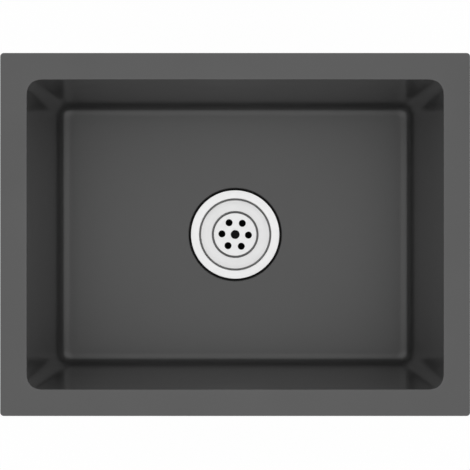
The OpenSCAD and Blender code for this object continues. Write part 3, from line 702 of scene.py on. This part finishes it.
def dressed_copy(name, node, body, finish, folds=(), edge=0.25):
    """Copy of a CAD node with its triangles merged. Each fold, (line, radius, steps), rounds the edges
    on one line, which is a dictionary of axis to place in millimetres; then every other sharp edge is
    broken by a small bevel."""
    work = bmesh.new()
    work.from_mesh(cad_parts[node].data)
    bmesh.ops.remove_doubles(work, verts=work.verts, dist=2e-6)
    bmesh.ops.dissolve_limit(work, angle_limit=0.01, verts=work.verts, edges=work.edges)
    for line, radius, steps in folds:
        on_line = [
            e for e in work.edges
            if all(abs(v.co[axis] - place * MM) < 2e-5 for v in e.verts for axis, place in line.items())
        ]
        rounded = {"offset": radius * MM, "segments": steps, "profile": 0.5, "clamp_overlap": True}
        bmesh.ops.bevel(work, geom=on_line, affect="EDGES", **rounded)
    mesh = bpy.data.meshes.new(name)
    work.to_mesh(mesh)
    work.free()
    piece = finish_piece(name, mesh, body, [node], finish, merge=1e-6)
    bevel = piece.modifiers.new("broken edges", "BEVEL")
    bevel.width, bevel.segments, bevel.limit_method = edge * MM, 2, "ANGLE"
    bevel.angle_limit, bevel.harden_normals = np.radians(35), True
    return piece


dressed_copy("stem_guide_spider", "outlet_spider", "sink", turned_steel)


# Outlet union: a white washer, the flanged tube that takes the waste away, and the white moulded
# coupling nut that pulls the tube's flange up against the outlet.

def make_white_plastic():
    """Moulded white plastic: slightly warm, with a faint mould texture."""
    finish, tree, shader = new_finish("white_moulding")
    cloud, grain = grained(tree, 50.0, 1500.0)
    colour_by(tree, shader, cloud, (0.7, 0.7, 0.68), (0.76, 0.76, 0.745))
    rough_by(tree, shader, grain, 0.36, 0.46)
    tooth(tree, shader, grain, 0.1, 0.0001)
    return finish


white_plastic = make_white_plastic()
tube_steel = make_turned_steel("drawn_tube_steel", 0.52, 0.2)
TUBE_IN, TUBE_OUT, WASHER_TOP = 18.05, 19.05, FLANGE + OUTLET_END
TUBE_TOP, TUBE_END = WASHER_TOP - 2, WASHER_TOP - 102
washer_ring = turned(flat_ring(TUBE_IN, OUTLET_OUT, TUBE_TOP, WASHER_TOP, 0.4), 96)
grid_piece("union_washer", "sink", "white_plastic", ["tailpiece_washer"], white_plastic, washer_ring)

tube = [(23, TUBE_TOP - 1), (23, TUBE_TOP), (TUBE_IN, TUBE_TOP), (TUBE_IN, TUBE_END)]
tube += [(TUBE_OUT, TUBE_END), (TUBE_OUT, TUBE_TOP - 1)]
tube_outline = eased(tube, [0.4, 0.4, 1.0, 0.35, 0.35, 0.5])
grid_piece("outlet_tube", "sink", "bright_steel", ["tailpiece"], tube_steel, turned(tube_outline, 128))

UNION_LOW, UNION_HIGH, TUBE_BORE, UNION_BORE = -267.5, -249.5, 20.05, 23.35
union_side = both_edges([(1.4, 0), (1.0, 0), (0.3, 0.3), (0, 1), (0, 1.3)], UNION_LOW, UNION_HIGH)
union_hole = [(24.2, UNION_HIGH), (23.9, UNION_HIGH), (UNION_BORE, UNION_HIGH - 0.5)]
union_hole += [(UNION_BORE, UNION_LOW + 2.5), (UNION_BORE - 0.3, UNION_LOW + 2.2)]
union_hole += [(TUBE_BORE + 0.3, UNION_LOW + 2.2), (TUBE_BORE, UNION_LOW + 1.9)]
union_hole += [(TUBE_BORE, UNION_LOW + 0.3), (TUBE_BORE + 0.3, UNION_LOW), (TUBE_BORE + 0.6, UNION_LOW)]
union_points = ring_nut(lugged_outline(27.5, 2, 8, 8, 0.9), union_side, union_hole)
grid_piece("union_nut", "sink", "white_plastic", ["coupling_nut"], white_plastic, union_points)


# Basket: a bright pressed dish that lifts out. Its rolled rim hangs on the cup's ledge, its middle
# steps down to a flat plate with six drain holes, and a seventh in the middle holds the stopper.

TOP_AT, LOW_AT = -9.0, -9.8
PLATE_TOP, PLATE_LOW = FLANGE + TOP_AT, FLANGE + LOW_AT
PLATE_EDGE, PLATE_TURN = 25.4, np.radians(-2.6)
HOLE_CIRCLE, HOLE_R, MIDDLE_R = 16.5, 4.25, 4.0
ARC_STEPS, RAY_STEPS, INNER_STEPS = 28, 14, 8


def sector_outline():
    """Outline of one sixth of the plate, with its hole's centre on the X axis: out along the lower ray,
    round the plate's edge, in along the upper ray and back round the middle hole."""
    half = np.pi / 6
    out = np.linspace(MIDDLE_R, PLATE_EDGE, RAY_STEPS + 1)[:-1]
    arc = np.linspace(-half, half, ARC_STEPS + 1)[:-1]
    back = np.linspace(half, -half, INNER_STEPS + 1)[:-1]
    back_in, inner = PLATE_EDGE + MIDDLE_R - out, np.full(INNER_STEPS, MIDDLE_R)
    radius = np.concatenate([out, np.full(ARC_STEPS, PLATE_EDGE), back_in, inner])
    angle = np.concatenate([np.full(RAY_STEPS, -half), arc, np.full(RAY_STEPS, half), back])
    return np.stack([radius * np.cos(angle), radius * np.sin(angle)], axis=1)


def sector_plate():
    """One sixth of the plate as a grid that wraps round its hole: from the sector's outline on the top
    face straight in to the hole's rounded edge, through the hole, and out again on the underside."""
    outline = sector_outline()
    centre = np.array([HOLE_CIRCLE, 0.0])
    away = outline - centre
    ring = away / np.linalg.norm(away, axis=1)[:, None]
    share = np.array([0, 0.3, 0.6, 0.85, 0.97, 1.0])[:, None, None]
    top = (1 - share) * outline + share * (centre + (HOLE_R + 0.22) * ring)
    hole = [(0.06, -0.06), (0, -0.22), (0, -0.58), (0.06, -0.74)]
    wall = [
        np.column_stack([centre + (HOLE_R + grow) * ring, np.full(len(ring), PLATE_TOP + rise)])
        for grow, rise in hole
    ]
    top = np.concatenate([top, np.full((*top.shape[:2], 1), PLATE_TOP)], axis=-1)
    low = top[::-1] + [0, 0, PLATE_LOW - PLATE_TOP]
    return np.concatenate([top, wall, low])


def turn_about_z(points, angle):
    """Points turned about the Z axis: x cos a - y sin a, x sin a + y cos a, and the same height."""
    x, y, z = np.moveaxis(points, -1, 0)
    cos_a, sin_a = np.cos(angle), np.sin(angle)
    return np.stack([x * cos_a - y * sin_a, x * sin_a + y * cos_a, z], axis=-1)


sector = sector_plate()
sectors = [turn_about_z(sector, PLATE_TURN + k * np.pi / 3) for k in range(6)]

BEAD_R, BEAD_X, BEAD_Z = 0.6, 41.85, -1.6
sin_b, cos_b = quarter(-52, 108, 12)
bead = list(zip(BEAD_X + BEAD_R * cos_b, BEAD_Z + BEAD_R * sin_b))
upper = [bead[-1], (38, -1.95), (28.75, -3.45), (26.6, TOP_AT), (PLATE_EDGE, TOP_AT)]
lower = [(PLATE_EDGE, LOW_AT), (27.15, LOW_AT), (29.32, -4.18), (38.1, -2.76), bead[0]]
upper = eased(upper, [0, 2.0, 0.7, 0.7, 0], 6, False)
lower = eased(lower, [0, 1.4, 0.4, 2.0, 0], 6, False)
dish_outline = np.concatenate([lower, bead[1:-1], upper]) + [0, FLANGE]
dish_side = turn_about_z(turned(dish_outline, 6 * ARC_STEPS), PLATE_TURN + np.pi / 6)
hole_outline = [(MIDDLE_R, PLATE_TOP), (MIDDLE_R, PLATE_LOW)]
hole_side = turn_about_z(turned(hole_outline, 6 * INNER_STEPS), PLATE_TURN + np.pi / 6)

# painted shade: the step from the basket's slope down to its plate is darkened as a shaded wall
basket_finish = make_turned_steel("basket_stainless", 0.87, 0.36, (FLANGE - 8.85, FLANGE - 3.6))
grid_piece(
    "basket_dish_pressed", "basket", "bright_steel", ["basket_dish"], basket_finish,
    *sectors, dish_side, hole_side, close_rows=False,
)


# Basket stopper: one black rubber moulding. Its button snaps through the plate's middle hole, its neck
# hangs below, and its sloping plug closes the cup's seat.

PLUG_LOW, STEM_TOP = -40.5, -19.0
stopper = [(0, -7.8), (4.6, -7.85), (5.4, -8.5), (5.4, TOP_AT), (MIDDLE_R, TOP_AT), (MIDDLE_R, LOW_AT)]
stopper += [(7, LOW_AT), (7, -33.5), (10, -35.5), (33.6, -35.5), (34.25, -36.1)]
stopper += [(27.32, PLUG_LOW), (3.25, PLUG_LOW), (3.25, STEM_TOP), (0, STEM_TOP)]
stopper_radii = [0, 1.0, 0.5, 0.2, 0.1, 0.1, 0.6, 1.2, 1.2, 0.5, 0.4, 0.8, 0.2, 0.2, 0]
stopper_outline = eased(stopper, stopper_radii, 5, False)[::-1] + [0, FLANGE]
grid_piece(
    "rubber_stopper", "basket", "black_rubber", ["basket_stopper"], rubber,
    turned(stopper_outline, 96), close_rows=False,
)


# Basket stem: turned and zinc-plated, vulcanised into the stopper. The groove near its tip parks the
# basket in a raised place.

STEM_R, GROOVE_R = 3.2, 2.5
stem = [(0, STEM_TOP), (STEM_R, STEM_TOP), (STEM_R, PLUG_LOW), (9, PLUG_LOW), (9, PLUG_LOW - 1.5)]
stem += [(STEM_R, PLUG_LOW - 1.5), (STEM_R, -64), (GROOVE_R, -65), (GROOVE_R, -67), (STEM_R, -68)]
stem += [(STEM_R, -82.2), (1.9, -84), (0, -84)]
stem_radii = [0, 0.3, 0.2, 0.3, 0.4, 0.5, 0.3, 0.3, 0.3, 0.3, 1.4, 1.0, 0]
stem_outline = eased(stem, stem_radii, 4, False)[::-1] + [0, FLANGE]
stem_points = turned(stem_outline, 64)
grid_piece("parking_stem", "basket", "zinc_steel", ["basket_stem"], zinc, stem_points, close_rows=False)


# Clamp brackets and weld nuts: four folded zinc-plated brackets, spot-welded to the long walls, each
# with a square nut welded under its tab.

CLAMPS = {"front_left": (-1, -1), "front_right": (1, -1), "back_left": (-1, 1), "back_right": (1, 1)}
CLAMP_X, WALL_Y, SCREW_OUT = 130.0, 168.2, 8.6
TAB_TOP, TAB_LOW, STRIP = -27.0, -29.0, 2.0
fold_back, fold_face = WALL_Y - lean_at(TAB_TOP), WALL_Y - lean_at(TAB_LOW) + STRIP / np.cos(LEAN)
for corner, (_, side_y) in CLAMPS.items():
    folds = [({1: side_y * fold_back, 2: TAB_TOP}, 2.6, 5), ({1: side_y * fold_face, 2: TAB_LOW}, 0.8, 3)]
    node = f"clamp_bracket_{corner}"
    dressed_copy(f"folded_bracket_{corner}", node, "sink", zinc, folds)
dressed_copy("square_weld_nuts", "weld_nuts", "sink", zinc, edge=0.5)


# Clamp screws and washers: M6 hexagon screws with their heads below, and the plain washers that carry
# the claws. A socket wrench drives them up through the weld nuts.

SCREW_R, HEAD_R, FLATS, HEAD_TOP, HEAD_LOW = 3.0, 6.0, 10.0, -64.2, -68.2


def hex_reach(angle, flats):
    """Distance from the axis to a hexagon's side: half its width across flats over the cosine of the
    angle between the direction and the middle of that side."""
    within = (angle + np.pi / 6) % (np.pi / 3) - np.pi / 6
    return flats / 2 / np.cos(within)


def screw_points(turns=48, pitch=1.0):
    """A screw from the middle of its tip to the middle of its head's underside. The shank is turned and
    loses its thread's depth; a row of the head takes the smaller of the hexagon and its own circle, so
    that the corners are cut off as a lathe cuts them."""
    shank = [(0, -26), (1.6, -26), (2.4, -26.1), (2.7, -26.5)]
    run = list(zip(np.full(301, SCREW_R), np.linspace(-26.9, -64.0, 301)))
    head = [(3.1, -64.15), (3.3, HEAD_TOP), (4.3, HEAD_TOP), (4.85, HEAD_TOP - 0.05)]
    head += [(HEAD_R, HEAD_TOP - 0.7), (HEAD_R, HEAD_TOP - 1), (HEAD_R, HEAD_LOW + 1)]
    head += [(HEAD_R, HEAD_LOW + 0.7), (4.85, HEAD_LOW + 0.05), (4.3, HEAD_LOW), (2.0, HEAD_LOW)]
    radius, height = np.array(shank + run + head + [(0, HEAD_LOW)]).T[:, :, None]
    angle = np.linspace(0, 2 * np.pi, turns, endpoint=False)[None]
    radius = radius - (radius == SCREW_R) * thread_cut(angle, height, pitch, 0.34, -63.5, -26.5)
    in_head = height < HEAD_TOP + 0.01
    radius = np.where(in_head, np.minimum(radius, hex_reach(angle, FLATS)), radius)
    return np.stack([radius * np.cos(angle), radius * np.sin(angle), height + 0 * radius], axis=-1)[::-1]


screw = screw_points()
CLAW_HIGH = -35.0
claw_half = SCREW_OUT + lean_at(CLAW_HIGH) - STRIP / np.cos(LEAN) - 0.3
washer = turned(flat_ring(SCREW_R + 0.05, claw_half - 0.2, -64.1, -62.6, 0.25), 64)
for corner, (side_x, side_y) in CLAMPS.items():
    axis = np.array([side_x * CLAMP_X, side_y * (WALL_Y + SCREW_OUT), 0.0])
    grid_piece(
        f"hex_screw_{corner}", f"screw_{corner}", "zinc_steel", [f"clamp_screw_{corner}"], zinc,
        screw + axis, close_rows=False,
    )
    grid_piece(
        f"plain_washer_{corner}", f"washer_{corner}", "zinc_steel", [f"clamp_washer_{corner}"], zinc,
        washer + axis,
    )


# Clamp claws: bent from 2.5 mm steel strip and zinc-plated. Each turns on its screw, out under the
# worktop, and its three teeth bite the wood.

CLAW_STRIP, CLAW_LOW, CLAW_TIP = 2.5, -62.5, CLAMP_X - 34
for corner, (side_x, _) in CLAMPS.items():
    outer_fold = {0: side_x * CLAW_TIP, 2: CLAW_LOW}
    inner_fold = {0: side_x * (CLAW_TIP + CLAW_STRIP), 2: CLAW_LOW + CLAW_STRIP}
    folds = [(outer_fold, 3.0, 5), (inner_fold, 0.8, 3)]
    dressed_copy(
        f"toothed_claw_{corner}", f"clamp_claw_{corner}", f"claw_{corner}", zinc, folds
    )


# The studio: a plain white floor under the outlet tube, even white light from all round, and a camera
# straight above the middle, 1.34 m over the rim.

STAND = float(cad_low.z)


def make_white_floor():
    """White floor: the eye and reflections see paper white, with a little of the object's shadow."""
    paper = {"Base Color": (0.93, 0.93, 0.93, 1), "Roughness": 0.9, "Specular IOR Level": 0.0}
    finish, tree, shader = new_finish("white_floor", paper)
    rays = add(tree, "ShaderNodeLightPath").outputs
    seen = rays["Is Camera Ray"]
    for ray in ("Is Glossy Ray", "Is Transmission Ray"):
        seen = add(tree, "ShaderNodeMath", {0: seen, 1: rays[ray]}, operation="MAXIMUM").outputs[0]
    share = add(tree, "ShaderNodeMath", {0: seen, 1: 0.965}, operation="MULTIPLY").outputs[0]
    glow = add(tree, "ShaderNodeEmission", {"Color": (1, 1, 1, 1), "Strength": 1.0}).outputs[0]
    mix = add(tree, "ShaderNodeMixShader", {0: share, 1: shader.outputs[0], 2: glow})
    tree.links.new(mix.outputs[0], tree.nodes["Material Output"].inputs["Surface"])
    return finish


def floor_sheet(half=4.0, steps=9):
    """Flat square of points at the height on which the outlet tube stands."""
    side = np.linspace(-half, half, steps)
    y, x = np.meshgrid(side, side, indexing="ij")
    return np.stack([x, y, np.full_like(x, STAND)], axis=-1)


sheet = floor_sheet()
floor_mesh = bpy.data.meshes.new("studio_floor")
floor_faces = cells(*sheet.shape[:2], False, False)
floor_mesh.from_pydata(sheet.reshape(-1, 3).tolist(), [], floor_faces.tolist())
floor_mesh.materials.append(make_white_floor())
studio_floor = bpy.data.objects.new("studio_floor", floor_mesh)
bpy.context.scene.collection.objects.link(studio_floor)


def make_white_light():
    """Even white light from all round, and a soft lamp straight above: 1 plus 0.83 times the direction's
    height to the power of 150, so that the lamp fades out within some ten degrees."""
    world = bpy.data.worlds.new("even_white_light")
    world.use_nodes = True
    tree = world.node_tree
    place = add(tree, "ShaderNodeTexCoord").outputs["Generated"]
    height = add(tree, "ShaderNodeSeparateXYZ", {"Vector": place}).outputs["Z"]
    upper = add(tree, "ShaderNodeMath", {0: height, 1: 0.0}, operation="MAXIMUM").outputs[0]
    lamp = add(tree, "ShaderNodeMath", {0: upper, 1: 150.0}, operation="POWER").outputs[0]
    level = add(tree, "ShaderNodeMath", {0: lamp, 1: 0.83, 2: 1.0}, operation="MULTIPLY_ADD").outputs[0]
    tree.nodes["Background"].inputs["Color"].default_value = (1, 1, 1, 1)
    tree.links.new(level, tree.nodes["Background"].inputs["Strength"])
    return world


bpy.context.scene.world = make_white_light()

PICTURE, EYE = 470, 1.3404
lens = bpy.data.cameras.new("overhead_camera")
lens.sensor_width, lens.lens = 36.0, 95.385
lens.shift_x, lens.shift_y = -0.18 / PICTURE, -0.51 / PICTURE
lens.clip_start, lens.clip_end = 0.05, 20.0
camera = bpy.data.objects.new("overhead_camera", lens)
camera.location = (0, 0, EYE)
bpy.context.scene.collection.objects.link(camera)
bpy.context.scene.camera = camera
bpy.context.scene.view_settings.view_transform = "Standard"
